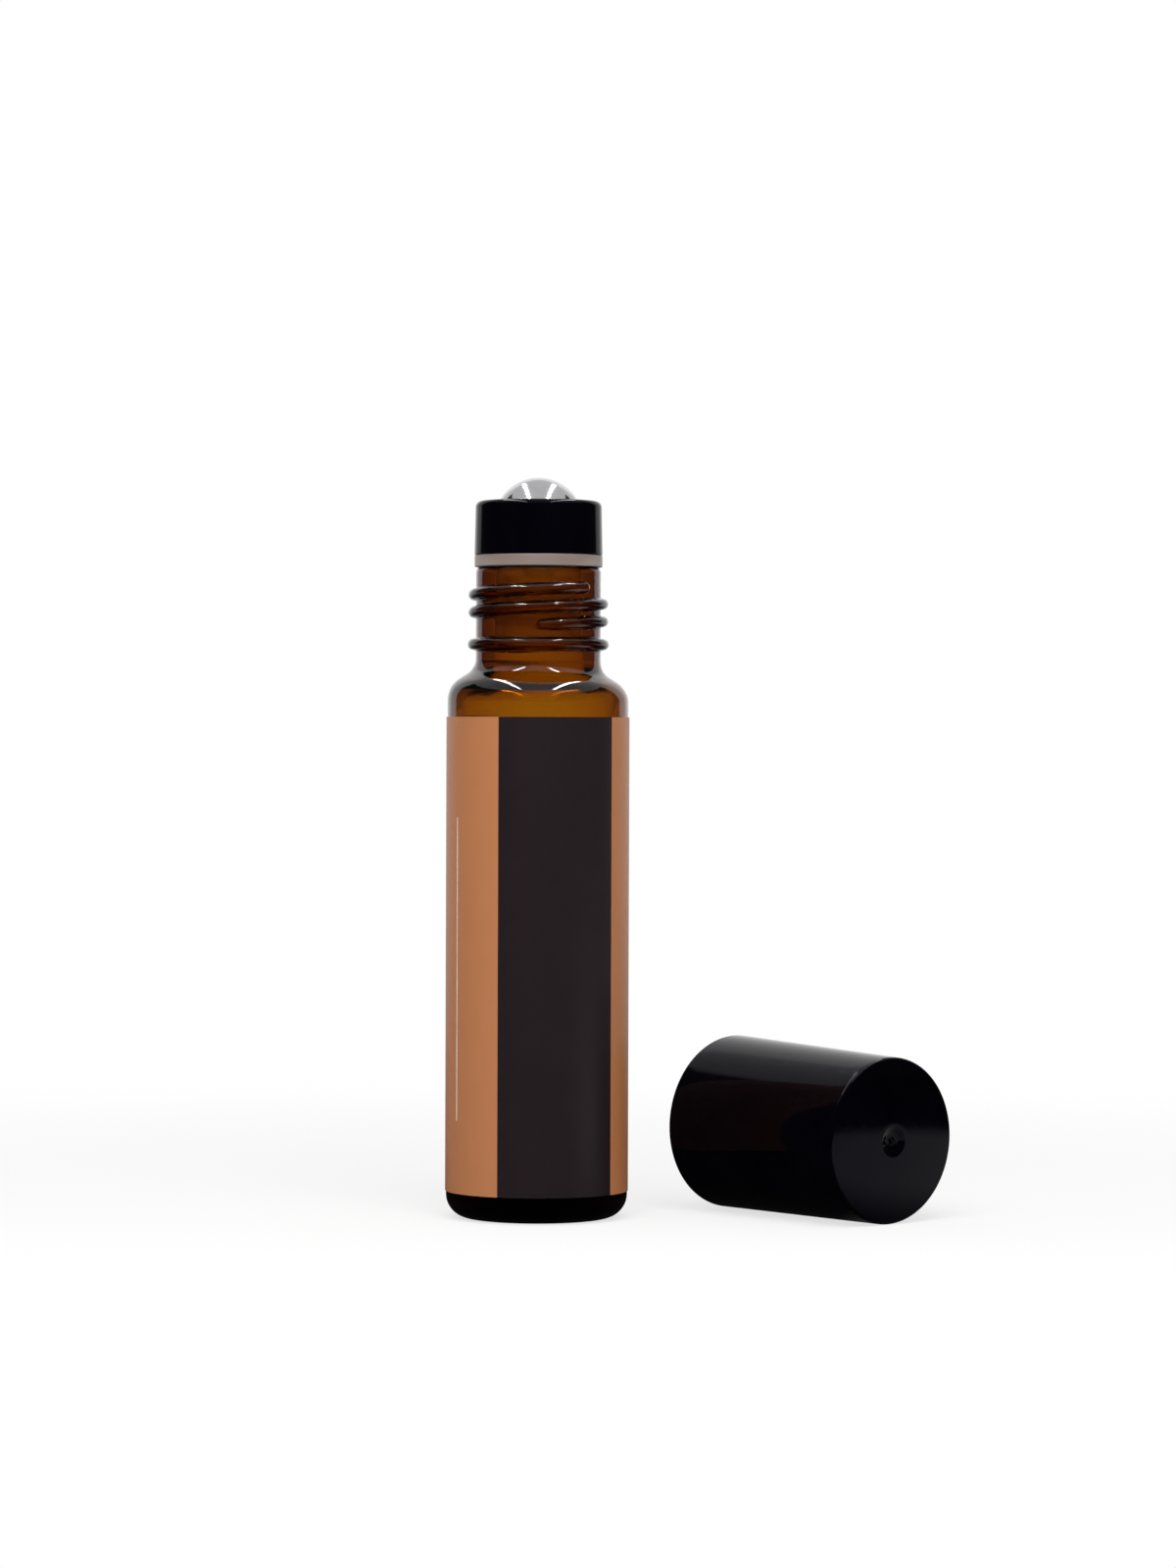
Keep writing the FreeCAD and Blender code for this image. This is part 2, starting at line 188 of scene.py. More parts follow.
def newMaterial(name, **inputs):
    material = bpy.data.materials.new(name)
    material.use_nodes = True
    tree = material.node_tree
    tree.nodes.clear()
    shader = addNode(tree, "BsdfPrincipled", {key.replace("_", " "): value for key, value in inputs.items()})
    addNode(tree, "OutputMaterial", {"Surface": shader.outputs["BSDF"]})
    return material, tree, shader


# Clear stuff that is coloured by its thickness
def clearMaterial(name, values, **inputs):
    material, tree, shader = newMaterial(
        name, Base_Color=(1, 1, 1, 1), Transmission_Weight=1.0, Roughness=0.0,
        IOR=values["indexOfRefraction"], **inputs)
    absorption = {"Color": values["absorption"], "Density": values["absorptionDensity"]}
    volume = addNode(tree, "VolumeAbsorption", absorption)
    tree.links.new(volume.outputs["Volume"], tree.get_output_node("ALL").inputs["Volume"])
    return material, tree, shader


def noise(tree, scale, detail, roughness=0.5, stretch=(1, 1, 1)):
    place = addNode(tree, "TexCoord").outputs["Object"]
    stretched = addNode(tree, "Mapping", {"Vector": place, "Scale": stretch}).outputs["Vector"]
    settings = {"Vector": stretched, "Scale": scale, "Detail": detail, "Roughness": roughness}
    return addNode(tree, "TexNoise", settings).outputs["Fac"]


def mapRange(tree, value, fromSpan, toSpan, curve="LINEAR"):
    settings = {"Value": value, "From Min": fromSpan[0], "From Max": fromSpan[1],
                "To Min": toSpan[0], "To Max": toSpan[1]}
    return addNode(tree, "MapRange", settings, interpolation_type=curve).outputs["Result"]


def blendColours(tree, factor, first, second):
    node = addNode(tree, "Mix", data_type="RGBA")
    sockets = {socket.identifier: socket for socket in node.inputs}
    tree.links.new(factor, sockets["Factor_Float"])
    sockets["A_Color"].default_value = first
    sockets["B_Color"].default_value = second
    return next(socket for socket in node.outputs if socket.identifier == "Result_Color")


usualNoise = (0.3, 0.7)  # span that most of a noise pattern lies in


def paintPatches(tree, shader, pattern, light, deep):
    colour = blendColours(tree, mapRange(tree, pattern, usualNoise, (0, 1)), light, deep)
    tree.links.new(colour, shader.inputs["Base Color"])


def varyRoughness(tree, shader, pattern, span, patternSpan=usualNoise):
    tree.links.new(mapRange(tree, pattern, patternSpan, span), shader.inputs["Roughness"])


def addBump(tree, shader, height, strength, distance):
    settings = {"Height": height, "Strength": strength, "Distance": distance}
    bump = addNode(tree, "Bump", settings)
    tree.links.new(bump.outputs["Normal"], shader.inputs["Normal"])


# Glass bottle
bottleHigh = nodeBox("glass_bottle")[1]
glassBottle = {
    "radius": bottleHigh.x,
    "lip": bottleHigh.z,
    "segments": 216,
    "arcStep": 4.0,            # degrees between the points of a rounding
    "neckSpacing": 0.07,       # rings on the neck are close enough to carry the thread
    "wallSpacing": 1.2,
    "wall": 1.6,
    "baseThickness": 3.2,
    "pushUp": 0.9,
    "restingRing": 5.2,
    "restingRound": 1.2,
    "heelRound": 2.6,
    "innerHeelRound": 2.0,
    "shoulderEdge": 58.4,
    "shoulderSlope": 33.0,
    "shoulderRound": 2.8,
    "innerShoulderRound": 1.4,
    "neckRadius": 6.9,
    "neckWall": 2.0,
    "neckRound": 2.0,
    "innerNeckRound": 2.4,
    "lipRound": 0.6,
    "bead": {"height": 63.2, "rise": 0.9, "rounding": 0.65, "blend": 0.3},
    "thread": {"upperAngle": -44.5, "upperHeight": 69.38, "sweep": 761.5, "pitch": 1.935,
               "rise": 0.82, "rounding": 0.62, "blend": 0.25, "taper": 15.0, "tip": 0.8},
    "wobble": 0.035,           # unevenness of the bore and of the inner wall
    "wobbleWaves": ((1.0, 2, 0.33, 0.0), (0.6, 3, -0.52, 1.3)),
    "lean": 0.2,               # the shoulder stands this much higher on the left than in the middle
    "leanBelow": 3.0,          # the lean fades out this far under the shoulder and over its slope
    "leanAbove": 2.0,
    "absorption": (0.80, 0.63, 0.0, 1.0),
    "absorptionDensity": 2100.0,
    "indexOfRefraction": 1.52,
    "mirror": (0.8, 0.8, 0.8, 1.0),   # share of the reflection seen square on
    "drawnLines": {"scale": 420.0, "detail": 2.0, "stretch": (1, 1, 0.12)},
    "drawnBump": (0.05, 0.0002),      # strength, and depth in metres
}


def makeGlassBottle(values):
    slope = math.tan(math.radians(values["shoulderSlope"]))
    bore = values["neckRadius"] - values["neckWall"]
    cavity = values["radius"] - values["wall"]
    slopeTop = values["shoulderEdge"] + (values["radius"] - values["neckRadius"]) * slope
    drop = values["wall"] / math.cos(math.radians(values["shoulderSlope"]))
    innerLow = values["shoulderEdge"] + values["wall"] * slope - drop
    innerHigh = values["shoulderEdge"] + (values["radius"] - bore) * slope - drop
    section = roundedOutline([
        (0, values["pushUp"]),
        (values["restingRing"], 0, values["restingRound"]),
        (values["radius"], 0, values["heelRound"]),
        (values["radius"], values["shoulderEdge"], values["shoulderRound"]),
        (values["neckRadius"], slopeTop, values["neckRound"]),
        (values["neckRadius"], values["lip"], values["lipRound"]),
        (bore, values["lip"], values["lipRound"]),
        (bore, innerHigh, values["innerNeckRound"]),
        (cavity, innerLow, values["innerShoulderRound"]),
        (cavity, values["baseThickness"], values["innerHeelRound"]),
        (0, values["baseThickness"]),
    ], values["arcStep"])
    outline = []
    for start, end in zip(section, section[1:]):
        onNeck = min(start[1], end[1]) > slopeTop and max(start[0], end[0]) > bore + values["lipRound"]
        spacing = values["neckSpacing"] if onNeck else values["wallSpacing"]
        outline += fineOutline([start, end], spacing)[:-1]
    outline.append(section[-1])
    lipRing = int(np.argmax([height for radius, height in outline]))

    def shapeGlass(radius, height, angle):
        outside = np.arange(len(radius))[:, None] < lipRing
        bead = values["bead"]
        ring = beadRise(np.abs(height - bead["height"]), bead["rise"], bead["rounding"], bead["blend"])
        thread = threadRise(angle, height, values["neckRadius"], values["thread"])
        rise = np.maximum(ring, thread) * (height > slopeTop)
        offAxis = np.minimum(radius / bore, 1)
        unevenness = values["wobble"] * ripples(angle, height, values["wobbleWaves"]) * offAxis
        onShoulder = smoothStep((height - values["shoulderEdge"]) / values["leanBelow"] + 1)
        onShoulder = onShoulder * smoothStep((slopeTop - height) / values["leanAbove"] + 1)
        raised = height - values["lean"] * np.cos(angle) * onShoulder * outside
        return radius + np.where(outside, rise, unevenness), raised

    mesh = turnedMesh("glassBottle", outline, values["segments"], shapeGlass)
    material, tree, shader = clearMaterial("amberGlass", values, Specular_Tint=values["mirror"])
    addBump(tree, shader, noise(tree, **values["drawnLines"]), *values["drawnBump"])
    mesh.materials.append(material)
    addPiece("glass_bottle_body", mesh, "bottle", "glass_bottle")


# Wrapped label
labelLow, labelHigh = nodeBox("wrap_label")
wrapLabel = {
    "radius": labelHigh.x,
    "bottom": labelLow.z,
    "top": labelHigh.z,
    "thickness": 0.08,
    "gap": 4.0,                # bare strip at the back
    "cornerRound": 1.5,
    "columnStep": 1.5,         # degrees
    "rows": 12,
    "panelStart": -113.9,      # dark panel, in degrees round the bottle, with the front at -90
    "panelEnd": -37.0,
    "overprint": 0.6,          # dark line where the inks overlap, in degrees
    "rule": {"angle": -149.6, "width": 0.9, "low": 11.0, "high": 44.2},  # plain hairline
    "inks": {
        "tan": {"light": (0.414, 0.158, 0.06, 1.0), "deep": (0.404, 0.152, 0.056, 1.0), "roughness": 0.42},
        "panel": {"light": (0.015, 0.009, 0.0118, 1.0), "deep": (0.0138, 0.0082, 0.0106, 1.0),
                  "roughness": 0.38},
        "overprint": {"light": (0.05, 0.014, 0.008, 1.0), "deep": (0.015, 0.009, 0.0118, 1.0),
                      "roughness": 0.4},
        "paper": {"light": (0.62, 0.54, 0.46, 1.0), "deep": (0.57, 0.5, 0.42, 1.0), "roughness": 0.7},
        "rule": {"light": (0.78, 0.72, 0.66, 1.0), "deep": (0.62, 0.54, 0.46, 1.0), "roughness": 0.45},
    },
    "shine": 0.45,
    "roughnessSpread": (-0.05, 0.06),
    "patches": {"scale": 260.0, "detail": 4.0},
    "fibres": {"scale": 5200.0, "detail": 3.0, "roughness": 0.6, "stretch": (1, 1, 0.35)},
    "fibreBump": (0.12, 0.00004),     # strength, and depth in metres
}


def printedPaper(name, ink, values):
    material, tree, shader = newMaterial(name, Specular_IOR_Level=values["shine"])
    paintPatches(tree, shader, noise(tree, **values["patches"]), ink["light"], ink["deep"])
    fibres = noise(tree, **values["fibres"])
    varyRoughness(tree, shader, fibres, [ink["roughness"] + change for change in values["roughnessSpread"]])
    addBump(tree, shader, fibres, *values["fibreBump"])
    return material


def makeWrapLabel(values):
    halfGap = math.degrees(values["gap"] / 2 / (values["radius"] - values["thickness"]))
    start, end = -270 + halfGap, 90 - halfGap
    rule = values["rule"]
    edges = [start, rule["angle"] - rule["width"] / 2, rule["angle"] + rule["width"] / 2,
             values["panelStart"] - values["overprint"], values["panelStart"], values["panelEnd"],
             values["panelEnd"] + values["overprint"], end]
    bands = ("tan", "rule", "tan", "overprint", "panel", "overprint", "tan")
    columns = [start]
    columnInks = []
    for low, high, ink in zip(edges, edges[1:], bands):
        count = math.ceil((high - low) / values["columnStep"])
        columns += np.linspace(low, high, count + 1)[1:].tolist()
        columnInks += [ink] * count
    columns = np.array(columns)
    fromEnd = np.radians(np.minimum(columns - start, end - columns)) * values["radius"]
    inset = np.maximum(values["cornerRound"] - fromEnd, 0)
    cut = values["cornerRound"] - np.sqrt(values["cornerRound"]**2 - inset**2)
    levels = np.linspace(values["bottom"], values["top"], values["rows"] + 1)
    levels = np.sort(np.append(levels, (rule["low"], rule["high"])))
    rows = len(levels) - 1
    part = ((levels - values["bottom"]) / (values["top"] - values["bottom"]))[:, None]
    height = (values["bottom"] + cut) * (1 - part) + (values["top"] - cut) * part
    angle = np.radians(columns)[None, :]
    skins = []
    for radius in (values["radius"], values["radius"] - values["thickness"]):
        skin = np.broadcast_arrays(radius * np.cos(angle), radius * np.sin(angle), height)
        skins.append(np.stack(skin, axis=-1).reshape(-1, 3))
    wide = len(columns)
    inner = len(skins[0])
    faces = []
    faceInks = []
    for row in range(rows):
        for column in range(wide - 1):
            here = row * wide + column
            quad = (here, here + 1, here + wide + 1, here + wide)
            faces += [quad, tuple(inner + corner for corner in reversed(quad))]
            ink = columnInks[column]
            if ink == "rule" and not rule["low"] <= levels[row] < rule["high"]:
                ink = "tan"
            faceInks += [ink, "paper"]
    rim = list(range(wide))
    rim += [row * wide + wide - 1 for row in range(1, rows + 1)]
    rim += [rows * wide + column for column in reversed(range(wide - 1))]
    rim += [row * wide for row in reversed(range(1, rows))]
    for here, following in zip(rim, rim[1:] + rim[:1]):
        faces.append((following, here, inner + here, inner + following))
        faceInks.append("paper")
    mesh = finishedMesh("wrapLabel", np.concatenate(skins) * mm, faces)
    for name, ink in values["inks"].items():
        mesh.materials.append(printedPaper("label" + name.title(), ink, values))
    inkIndex = {name: index for index, name in enumerate(values["inks"])}
    mesh.polygons.foreach_set("material_index", [inkIndex[ink] for ink in faceInks])
    addPiece("wrap_label_sheet", mesh, "bottle", "wrap_label")


# Sealing plug with the ball's cradle
plugLow, plugHigh = nodeBox("sealing_plug")
ballLow, ballHigh = nodeBox("roller_ball")
housingLow, housingHigh = nodeBox("roller_housing")
sealingPlug = {
    "flangeRadius": plugHigh.x,
    "flangeTop": housingLow.z,
    "flangeRound": 0.12,
    "lip": bottleHigh.z,
    "lipClearance": 0.02,
    "foot": plugLow.z,
    "footRound": 0.2,
    "collarTop": plugHigh.z,
    "collarWall": 1.0,
    "collarRound": 0.15,
    "barrelRadius": 4.72,
    "barrelBore": 3.52,
    "ribs": 3,
    "ribRadius": 4.88,
    "ribHalfWidth": 0.3,
    "ribSpacing": 1.6,
    "topRibDepth": 2.2,        # below the lip
    "ballClearance": 0.08,
    "seatSteps": 18,
    "feedRadius": 1.4,
    "floorThickness": 1.0,
    "snapOverFlange": 1.5,
    "snapHalfWidth": 0.35,
    "snapRise": 0.16,
    "channels": 4,
    "channelDepth": 0.45,
    "channelHalfAngle": 8.0,
    "segments": 180,
    "flange": {"colour": (0.55, 0.455, 0.40, 1.0), "deep": (0.51, 0.42, 0.37, 1.0),
               "clearness": 0.65, "roughness": 0.4, "indexOfRefraction": 1.51},
    "barrel": {"colour": (0.95, 0.90, 0.84, 1.0), "deep": (0.91, 0.85, 0.78, 1.0),
               "clearness": 0.97, "roughness": 0.45, "indexOfRefraction": 1.16},   # wetted by the oil
    "roughnessSpread": (-0.06, 0.06),
    "cloud": {"scale": 340.0, "detail": 3.0},
    "grain": {"scale": 3800.0, "detail": 2.0},
    "grainBump": (0.08, 0.00005),     # strength, and depth in metres
}
ballLevel = (ballLow.z + ballHigh.z) / 2
ballRadius = (ballHigh.z - ballLow.z) / 2
seatRadius = ballRadius + sealingPlug["ballClearance"]
collarRadius = seatRadius + sealingPlug["collarWall"]


# Points on the ball's seat from one height to another
def seatArc(startHeight, endHeight, steps):
    start, end = (math.asin((height - ballLevel) / seatRadius) for height in (startHeight, endHeight))
    turns = np.linspace(start, end, steps + 1)
    return np.stack((seatRadius * np.cos(turns), ballLevel + seatRadius * np.sin(turns)), axis=-1)


# Natural plastic, which lets light through
def milkyPlastic(name, finish, values):
    material, tree, shader = newMaterial(
        name, Transmission_Weight=finish["clearness"], IOR=finish["indexOfRefraction"])
    paintPatches(tree, shader, noise(tree, **values["cloud"]), finish["colour"], finish["deep"])
    grain = noise(tree, **values["grain"])
    varyRoughness(tree, shader, grain, [finish["roughness"] + change for change in values["roughnessSpread"]])
    addBump(tree, shader, grain, *values["grainBump"])
    return material


def makeSealingPlug(values):
    flangeUnder = values["lip"] + values["lipClearance"]
    snap = values["flangeTop"] + values["snapOverFlange"]
    floorUnder = ballLevel - seatRadius - values["floorThickness"]
    feedEdge = ballLevel - math.sqrt(seatRadius**2 - values["feedRadius"]**2)
    corners = [
        (values["barrelBore"], values["foot"]),
        (values["barrelRadius"], values["foot"], values["footRound"]),
    ]
    for rib in reversed(range(values["ribs"])):
        height = values["lip"] - values["topRibDepth"] - rib * values["ribSpacing"]
        corners += [
            (values["barrelRadius"], height - values["ribHalfWidth"]),
            (values["ribRadius"], height),
            (values["barrelRadius"], height + values["ribHalfWidth"]),
        ]
    seat = seatArc(values["collarTop"], feedEdge, values["seatSteps"])
    corners += [
        (values["barrelRadius"], flangeUnder),
        (values["flangeRadius"], flangeUnder, values["flangeRound"]),
        (values["flangeRadius"], values["flangeTop"], values["flangeRound"]),
        (collarRadius, values["flangeTop"]),
        (collarRadius, snap - values["snapHalfWidth"]),
        (collarRadius + values["snapRise"], snap),
        (collarRadius, snap + values["snapHalfWidth"]),
        (collarRadius, values["collarTop"], values["collarRound"]),
        *seat,
        (values["feedRadius"], floorUnder),
        (values["barrelBore"], floorUnder),
    ]
    outline = roundedOutline(corners)
    lastSeat = len(outline) - 3       # two corners of the floor come after it
    firstSeat = lastSeat - values["seatSteps"]
    channelStep = 360 / values["channels"]

    def cutChannels(radius, height, angle):
        ring = np.arange(len(radius))[:, None]
        offCentre = np.abs((np.degrees(angle) + channelStep / 2) % channelStep - channelStep / 2)
        inChannel = (ring > firstSeat) & (ring < lastSeat) & (offCentre <= values["channelHalfAngle"])
        deeper = np.where(inChannel, 1 + values["channelDepth"] / seatRadius, 1)
        return radius * deeper, ballLevel + (height - ballLevel) * deeper

    mesh = turnedMesh("sealingPlug", outline, values["segments"], cutChannels, closed=True)
    mesh.materials.append(milkyPlastic("plugFlange", values["flange"], values))
    mesh.materials.append(milkyPlastic("plugBarrel", values["barrel"], values))
    for face in mesh.polygons:
        face.material_index = int(face.center.z < flangeUnder * mm)
    addPiece("sealing_plug_ring", mesh, "bottle", "sealing_plug")


# Glossy black plastic of the housing and the cap
blackFinish = {
    "colour": (0.0004, 0.0003, 0.0012, 1.0),
    "colourWorn": (0.0010, 0.0008, 0.0020, 1.0),
    "indexOfRefraction": 1.49,
    "shine": 0.09,
    "shineTint": (0.86, 0.82, 1.0, 1.0),
    "flow": {"scale": 220.0, "detail": 4.0},
    "handling": {"scale": 700.0, "detail": 5.0, "roughness": 0.65},
    "handlingSpan": (0.35, 0.75),
    "roughness": (0.05, 0.12),
    "orangePeel": {"scale": 900.0, "detail": 1.0},
    "peelBump": (0.03, 0.00006),      # strength, and depth in metres
}


def blackPlastic(name, finish, flowStretch):
    material, tree, shader = newMaterial(
        name, IOR=finish["indexOfRefraction"], Specular_IOR_Level=finish["shine"],
        Specular_Tint=finish["shineTint"])
    flow = noise(tree, **finish["flow"], stretch=flowStretch)
    paintPatches(tree, shader, flow, finish["colour"], finish["colourWorn"])
    handling = noise(tree, **finish["handling"])
    varyRoughness(tree, shader, handling, finish["roughness"], finish["handlingSpan"])
    addBump(tree, shader, noise(tree, **finish["orangePeel"]), *finish["peelBump"])
    return material


# Roller housing
rollerHousing = {
    "footRadius": housingHigh.x,
    "foot": housingLow.z,
    "top": housingHigh.z,
    "draft": 1.2,
    "topRound": 0.7,
    "footRound": 0.18,
    "mouthRound": 0.12,
    "seatSteps": 9,
    "collarGap": 0.1,
    "boreClearance": 0.04,
    "segments": 216,
    "flowStretch": (1, 1, 0.4),
}


def makeRollerHousing(values):
    drawIn = (values["top"] - values["foot"]) * math.tan(math.radians(values["draft"]))
    bore = collarRadius + values["boreClearance"]
    ledge = sealingPlug["collarTop"] + values["collarGap"]
    mouth = math.sqrt(seatRadius**2 - (values["top"] - ballLevel)**2)
    groove = sealingPlug["snapHalfWidth"] + values["boreClearance"]
    snap = values["foot"] + sealingPlug["snapOverFlange"]
    outline = roundedOutline([
        (bore, values["foot"]),
        (values["footRadius"], values["foot"], values["footRound"]),
        (values["footRadius"] - drawIn, values["top"], values["topRound"]),
        (mouth, values["top"], values["mouthRound"]),
        *seatArc(values["top"], ledge, values["seatSteps"])[1:],
        (bore, ledge),
        (bore, snap + groove),
        (bore + sealingPlug["snapRise"], snap),
        (bore, snap - groove),
    ])
    mesh = turnedMesh("rollerHousing", outline, values["segments"], closed=True)
    mesh.materials.append(blackPlastic("blackHousing", blackFinish, values["flowStretch"]))
    addPiece("roller_housing_ring", mesh, "bottle", "roller_housing")


# Steel ball
rollerBall = {
    "cuts": 40,
    "colour": (0.54, 0.54, 0.55, 1.0),
    "colourWorn": (0.48, 0.48, 0.49, 1.0),
    "roughness": (0.07, 0.10),
    "haze": {"scale": 480.0, "detail": 4.0},
    "scratches": {"scale": 5200.0, "detail": 3.0, "stretch": (1, 0.08, 0.08)},
    "scratchBump": (0.003, 0.00002),  # strength, and depth in metres
}


def makeRollerBall(values):
    mesh = bpy.data.meshes.new("rollerBall")
    work = bmesh.new()
    bmesh.ops.create_cube(work, size=2.0)
    bmesh.ops.subdivide_edges(work, edges=work.edges[:], cuts=values["cuts"], use_grid_fill=True)
    for vertex in work.verts:
        even = [math.tan(axis * math.pi / 4) for axis in vertex.co]  # spaces the rows evenly over the ball
        vertex.co = Vector(even).normalized() * ballRadius * mm + Vector((0, 0, ballLevel * mm))
    work.to_mesh(mesh)
    work.free()
    mesh.shade_smooth()
    material, tree, shader = newMaterial("polishedSteel", Metallic=1.0)
    paintPatches(tree, shader, noise(tree, **values["haze"]), values["colour"], values["colourWorn"])
    scratches = noise(tree, **values["scratches"])
    varyRoughness(tree, shader, scratches, values["roughness"])
    addBump(tree, shader, scratches, *values["scratchBump"])
    mesh.materials.append(material)
    addPiece("roller_ball_steel", mesh, "ball", "roller_ball")


# Screw cap, drawn with its rim at height 0 and then laid where the CAD cap lies
capSocket = next(mount for mount in frame["record"]["mounts"] if mount["name"] == "cap_socket")
screwCap = {
    "bore": capSocket["dims"]["r_mm"],
    "rimRadius": 9.7,
    "rimRound": 0.25,
    "draft": 1.27,
    "length": 25.75,
    "dome": 0.4,
    "domeInset": 1.0,
    "domeRings": 11,
    "edgeRound": 0.45,
    "step": capSocket["dims"]["length_mm"],
    "stepRound": 0.15,
    "chamberRadius": 7.43,
    "chamberRound": 0.5,
    "ceiling": 23.5,
    "sealRing": (4.727, 5.627),
    "sealLevel": 18.4,
    "sealRound": 0.15,
    "sealRootRound": 0.2,
    "gate": {"radius": 1.7, "depth": 0.35, "lead": 0.5, "edgeRound": 0.3, "spacing": 0.08,
             "floorRadius": 0.96, "floorRise": 0.03, "floorRound": 0.6},
    "nub": {"radius": 0.4, "topRadius": 0.34, "height": 0.2, "footRound": 0.12, "topRound": 0.06,
            "torn": 0.07, "tornWaves": ((1.0, 3, 0.0, 0.6), (0.7, 5, 0.0, 2.1))},
    "thread": {"upperAngle": 60.0, "upperHeight": 8.2, "sweep": 760.0, "pitch": 1.935,
               "rise": 0.6, "rounding": 0.5, "blend": 0.2, "taper": 45.0, "tip": 0.4},
    "boreSpacing": 0.09,       # rings in the bore are close enough to carry the thread
    "wallSpacing": 2.0,
    "segments": 216,
    "flowStretch": (1, 1, 1),
}


def capPlace(socket):
    outward = Vector(socket["axis"])
    rim = Vector(socket["pos_m"]) + outward * socket["dims"]["length_mm"] * mm / 2
    return Matrix.Translation(rim) @ (-outward).to_track_quat("Z", "Y").to_matrix().to_4x4()


def makeScrewCap(values):
    topRadius = values["rimRadius"] - values["length"] * math.tan(math.radians(values["draft"]))
    crown = values["length"] + values["dome"]
    domeRadius = (topRadius**2 + values["dome"]**2) / (2 * values["dome"])
    ringBore, ringRadius = values["sealRing"]
    gate, nub = values["gate"], values["nub"]
    gateFloor = crown - gate["depth"]
    nubTop = gateFloor + nub["height"]
    tiny = 1e-6

    def onDome(radius, *rounding):
        return (radius, crown - domeRadius + math.sqrt(domeRadius**2 - radius**2), *rounding)

    shell = roundedOutline([
        (0, values["ceiling"]),
        (ringBore, values["ceiling"], values["sealRootRound"]),
        (ringBore, values["sealLevel"], values["sealRound"]),
        (ringRadius, values["sealLevel"], values["sealRound"]),
        (ringRadius, values["ceiling"], values["sealRootRound"]),
        (values["chamberRadius"], values["ceiling"], values["chamberRound"]),
        (values["chamberRadius"], values["step"], values["stepRound"]),
        (values["bore"], values["step"], values["stepRound"]),
        (values["bore"], 0, values["rimRound"]),
        (values["rimRadius"], 0, values["rimRound"]),
        (topRadius, values["length"], values["edgeRound"]),
        onDome(topRadius / 2),
    ])[:-1]
    dome = np.linspace(topRadius - values["domeInset"], gate["radius"], values["domeRings"] + 1)[:-1]
    dish = roundedOutline([
        onDome(gate["radius"] + gate["lead"]),
        onDome(gate["radius"], gate["edgeRound"]),
        (gate["floorRadius"], gateFloor + gate["floorRise"], gate["floorRound"]),
        (nub["radius"], gateFloor, nub["footRound"]),
        (nub["topRadius"], nubTop, nub["topRound"]),
        (0, nubTop),
    ])[1:]
    outline = []
    for start, end in zip(shell, shell[1:]):
        inBore = max(start[1], end[1]) < values["step"] and max(start[0], end[0]) <= values["bore"] + tiny
        spacing = values["boreSpacing"] if inBore else values["wallSpacing"]
        outline += fineOutline([start, end], spacing)[:-1]
    outline += [shell[-1]] + [onDome(radius) for radius in dome] + fineOutline(dish, gate["spacing"])

    def shapeCap(radius, height, angle):
        inBore = (np.abs(radius - values["bore"]) < tiny) & (height < values["step"])
        thread = threadRise(angle, height, values["bore"], values["thread"])
        onNub = (radius < nub["radius"]) & (height > (gateFloor + nubTop) / 2)
        torn = nub["torn"] * ripples(angle, height, nub["tornWaves"]) * radius / nub["radius"]
        return radius - thread * inBore, height + torn * onNub

    mesh = turnedMesh("screwCap", outline, values["segments"], shapeCap)
    mesh.transform(capPlace(capSocket))
    mesh.materials.append(blackPlastic("blackCap", blackFinish, values["flowStretch"]))
    addPiece("screw_cap_shell", mesh, "cap", "screw_cap")


# Oil
oilLow, oilHigh = nodeBox("oil_fill")
oilFill = {
    "radius": oilHigh.x,
    "floor": oilLow.z,
    "level": oilHigh.z,
    "heelRound": 2.0,
    "meniscus": 0.6,           # how far the oil climbs at the wall
    "meniscusRound": 0.72,
    "meniscusEdge": 0.08,
    "spacing": 1.5,
    "segments": 144,
    "absorption": (0.93, 0.72, 0.30, 1.0),
    "absorptionDensity": 30.0,
    "indexOfRefraction": 1.47,
}


def makeOilFill(values):
    surface = values["level"] - values["meniscus"]
    outline = roundedOutline([
        (0, values["floor"]),
        (values["radius"], values["floor"], values["heelRound"]),
        (values["radius"], values["level"]),
        (values["radius"] - values["meniscusEdge"], values["level"]),
        (values["radius"] - values["meniscus"], surface, values["meniscusRound"]),
        (0, surface),
    ])
    mesh = turnedMesh("oilFill", fineOutline(outline, values["spacing"]), values["segments"])
    mesh.materials.append(clearMaterial("carrierOil", values)[0])
    addPiece("oil_column", mesh, "bottle", "oil_fill")


makeGlassBottle(glassBottle)
makeWrapLabel(wrapLabel)
makeSealingPlug(sealingPlug)
makeRollerHousing(rollerHousing)
makeRollerBall(rollerBall)
makeScrewCap(screwCap)
makeOilFill(oilFill)
print("pieces made")

